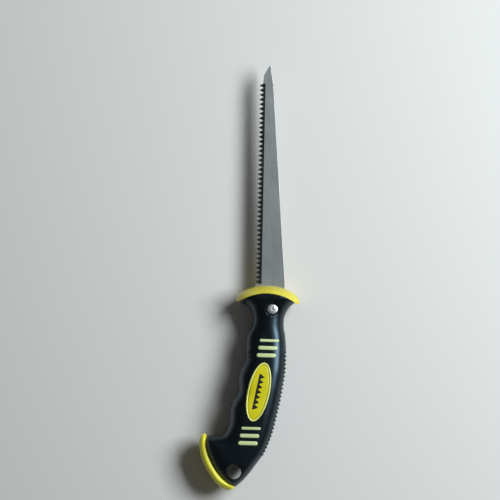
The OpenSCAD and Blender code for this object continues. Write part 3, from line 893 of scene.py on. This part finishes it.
def make_badge(name, mirror):
    """Domed oval badge: a rounded rim, a fine groove inside it and a flat field."""
    bands = [
        (7.5, 0.12), (6.5, 0.12), (5.0, 0.12), (3.5, 0.12), (2.3, 0.12), (1.75, 0.1), (1.6, 0.0),
        (1.45, -0.12), (1.3, -0.12), (1.18, 0.02), (1.08, 0.2), (0.9, 0.32), (0.65, 0.38), (0.4, 0.36),
        (0.15, 0.24), (0.02, 0.05), (0.0, -0.2), (0.0, -0.8), (2.5, -0.8), (5.0, -0.8), (7.5, -0.8),
    ]
    # Bands: the field in the badge's yellow, the groove in painted shade, the rim in a paler yellow that is a
    # painted highlight.
    mats = [0] * 6 + [1] * 2 + [2] * 8 + [0] * 4
    return badge_shape(name, mirror, bands, 120, mats)


def make_motif(name, mirror):
    """Printed mark on the badge: a plain row of slanting saw teeth."""
    parts = []
    for i in range(7):
        v = (i - 3) * 3.5
        corners = [(-1.9, v + 1.74), (-0.8, v + 1.74), (2.0, v + 0.1), (-0.8, v - 1.74), (-1.9, v - 1.74)]
        ring = []
        for a, b in zip(corners, corners[1:] + corners[:1]):
            ring += [(a[0] + (b[0] - a[0]) * k / 4, a[1] + (b[1] - a[1]) * k / 4) for k in range(4)]
        points = []
        for rise in (0.05, 0.17):
            for u, w in ring:
                x, y = leaned(BADGE, BADGE_LEAN, u, w)
                points.append((x, y, mirror * (float(surface_height([x], [y])[0]) + rise)))
        n = len(ring)
        faces = [tuple(range(n)), tuple(range(2 * n - 1, n - 1, -1))]
        faces += [(k, (k + 1) % n, n + (k + 1) % n, n + k) for k in range(n)]
        parts.append(outward(mesh_object("mark", points, faces, smooth=False)))
    return joined(name, parts)


BAR_HEIGHTS = (2.0, 2.7, 2.8)
BAR_LENGTH = 13.3
BAR_STEP = (-1.15, -5)
BAR_LEAN = math.radians(-2.5)
UPPER_BARS = (-1.2, -37.3)
LOWER_BARS = (-14.8, -96.7)


def bar_shape(name, mirror, upper, i, layers):
    """One capsule-shaped bar of a group, as layers of insets and rises."""
    first = UPPER_BARS if upper else LOWER_BARS
    centre = (first[0] + BAR_STEP[0] * i, first[1] + BAR_STEP[1] * i)
    r = BAR_HEIGHTS[i] / 2

    def ring(inset):
        out = []
        for k in range(48):
            a = 2 * math.pi * (k + 0.5) / 48
            c, s = math.cos(a), math.sin(a)
            x = math.copysign(BAR_LENGTH / 2 - r, c) + max(r - inset, 0.02) * c
            out.append(leaned(centre, BAR_LEAN, x, max(r - inset, 0.02) * s))
        return out

    return layered(name, mirror, ring, layers)


def make_bars(name, mirror, upper):
    """Three raised bars with rounded shoulders, let into the grip's face."""
    bars = []
    for i in range(3):
        r = BAR_HEIGHTS[i] / 2
        bands = [
            (0.98 * r, 0.3), (0.6 * r, 0.3), (0.35 * r, 0.26), (0.15 * r, 0.14), (0.02, -0.02), (0, -0.2),
            (0, -0.8), (0.98 * r, -0.8),
        ]
        bars.append(bar_shape("bar", mirror, upper, i, bands))
    return joined(name, bars)


# ---------------------------------------------------------------------------------------------- fasteners
HEAD_SEAT = 7.6
NUT_SEAT = -5.1


def make_screw():
    """Pan-head cross-recess screw with a rolled thread."""
    head = [
        (0, 0), (3.7, 0), (3.92, 0.12), (4.0, 0.4), (4.0, 1.2), (3.88, 1.7), (3.5, 2.2), (2.9, 2.5), (2.0, 2.7),
        (1.0, 2.78), (0, 2.8),
    ]
    top = turned("blade_screw_head", SCREW, [(r, HEAD_SEAT + rise) for r, rise in head])
    for quarter in (0, 1):
        turn = math.radians(-20 + 90 * quarter)
        rings = []
        for z, half, wide in ((1.2, 1.0, 0.3), (1.25, 1.1, 0.34), (2.9, 2.3, 0.56)):
            corners = ((-half, -wide), (half, -wide), (half, wide), (-half, wide))
            rings.append([(*leaned(SCREW, turn, x, y), HEAD_SEAT + z) for x, y in corners])
        cut(top, lofted("recess_wing", rings, smooth=False))
    creased(top, 30)
    pitch, shank = 0.7, []
    for z in np.arange(NUT_SEAT - 3.3, HEAD_SEAT + 0.2, pitch / 8):
        ring = []
        for k in range(48):
            a = 2 * math.pi * k / 48
            wave = abs(((z / pitch - k / 48) % 1) * 2 - 1)
            r = (1.95 - 0.34 * wave) if z < 2 else 1.95
            ring.append((SCREW[0] + r * math.cos(a), SCREW[1] + r * math.sin(a), z))
        shank.append(ring)
    return joined("pan_head_screw", [top, creased(lofted("thread", shank), 40)])


def make_nut():
    """Zinc-plated hexagon nut with chamfered corners and a countersunk bore."""
    z0, z1 = NUT_SEAT - 3.2, NUT_SEAT
    profile = [
        (2.1, z0 + 0.4), (2.5, z0), (3.3, z0), (3.55, z0 + 0.05), (3.8, z0 + 0.2), (4.1, z0 + 0.4),
        (4.2, z0 + 0.6), (4.2, z1 - 0.6), (4.1, z1 - 0.4), (3.8, z1 - 0.2), (3.55, z1 - 0.05), (3.3, z1),
        (2.5, z1), (2.1, z1 - 0.4),
    ]

    def hexagon(angle, r, z):
        third = math.radians((math.degrees(angle) + 30) % 60 - 30)
        return min(r, 3.5 / math.cos(third)) if r > 2.6 else r

    return creased(turned("hexagon_nut", SCREW, profile, sides=144, reach=hexagon), 28)


def make_washer():
    """Split spring washer, its two cut ends a little apart."""
    z0, z1 = HEAD_SEAT - 1, HEAD_SEAT
    profile = [
        (2.25, z0 + 0.05), (2.3, z0), (3.75, z0), (3.8, z0 + 0.05), (3.8, z1 - 0.05), (3.75, z1), (2.3, z1),
        (2.25, z1 - 0.05),
    ]
    open_ring = (0.13, 2 * math.pi - 0.13)
    return creased(turned("split_lock_washer", SCREW, profile, sides=90, sweep=open_ring), 35)


def make_pin():
    """Dowel pin with chamfered ends, which stops the tang from turning."""
    profile = [(0, -7), (1.2, -7), (1.5, -6.7), (1.5, 6.7), (1.2, 7), (0, 7)]
    return creased(turned("dowel_pin", (-1.6, -30.5), profile, sides=48), 30)


# ---------------------------------------------------------------------------------------------- studio
def make_floor():
    """A plain pale board under the saw."""
    side, low = 3.0, CAD_BOX[0][2]
    mesh = bpy.data.meshes.new("floor")
    corners = [(-side, -side, low), (side, -side, low), (side, side, low), (-side, side, low)]
    mesh.from_pydata(corners, [], [(0, 1, 2, 3)])
    floor = bpy.data.objects.new("floor", mesh)
    bpy.context.scene.collection.objects.link(floor)
    made, tree = material("matt_pale_board")
    shader = add(tree, "ShaderNodeBsdfPrincipled", {"Base Color": linear("#e0dbd6"), "Roughness": 0.85})
    add(tree, "ShaderNodeOutputMaterial", Surface=(shader, "BSDF"))
    mesh.materials.append(made)


def area_light(name, spot, aim, size, power, colour):
    lamp = bpy.data.lights.new(name, "AREA")
    lamp.shape, lamp.size, lamp.size_y = "RECTANGLE", size[0], size[1]
    lamp.energy, lamp.color = power, colour
    made = bpy.data.objects.new(name, lamp)
    made.location = spot
    made.rotation_euler = (Vector(aim) - Vector(spot)).to_track_quat("-Z", "Y").to_euler()
    bpy.context.scene.collection.objects.link(made)


def make_camera():
    """Straight above the saw, turned so that the blade leans a degree to the left."""
    data = bpy.data.cameras.new("camera")
    height, width, roll = 6.0, 0.340, math.radians(1.05)
    data.sensor_width = 36
    data.lens = data.sensor_width * height / width
    made = bpy.data.objects.new("camera", data)
    made.location = place((-13.2, 24.4, height / MM))
    made.rotation_euler = (0, 0, -roll)
    bpy.context.scene.collection.objects.link(made)
    bpy.context.scene.camera = made


make_camera()
make_floor()
area_light(
    "window", spot=(0.82, 0.34, 0.86), aim=place((-13, 5, 0)), size=(0.8, 0.5), power=20.5,
    colour=(0.86, 0.95, 1.0),
)
bpy.context.scene.view_settings.view_transform = "Standard"
world = bpy.data.worlds.new("studio")
bpy.context.scene.world = world
world.use_nodes = True
world.node_tree.nodes["Background"].inputs["Color"].default_value = linear("#dfe3e6")
world.node_tree.nodes["Background"].inputs["Strength"].default_value = 0.1

# The core shells take the black core finish: painted shade in the gaps round the inlays and the screw.
for node in ("core_front_shell", "core_rear_shell"):
    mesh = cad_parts[node].data
    mesh.materials.clear()
    mesh.materials.append(CORE_SHADE_PLASTIC)

finished(make_blade_plate(), "blade", "steel_blade", BLADE_STEEL)
finished(make_teeth(), "blade", "steel_blade", TOOTH_STEEL)
finished(make_grip(), "grip_overmould", "soft_grip", GRIP_RUBBER)
finished(make_guard_lip(), "guard_lip", "yellow_plastic", LIP_ABS)
finished(make_cap("heel_cap_moulding"), "heel_cap", "yellow_plastic", CAP_ABS)
finished(make_screw(), "blade_screw", "bright_screw", SCREW_METAL)
finished(make_washer(), "lock_washer", "dark_washer", WASHER_METAL)
finished(make_nut(), "blade_nut", "zinc_nut", NUT_METAL)
finished(make_pin(), "tang_pin", "pin_steel", NUT_METAL)
for side, mirror in (("front", 1), ("rear", -1)):
    badge = make_badge(side + "_badge_moulding", mirror)
    finished(badge, side + "_badge", "badge_plastic", YELLOW_ABS, GROOVE_ABS, RIM_HIGHLIGHT_ABS)
    finished(make_motif(side + "_badge_print", mirror), None, "badge_plastic", BLACK_INK)
    for level in ("upper", "lower"):
        bars = make_bars(f"{side}_{level}_bars_moulding", mirror, level == "upper")
        finished(bars, f"{side}_{level}_bars", "lime_plastic", LIME_PLASTIC)
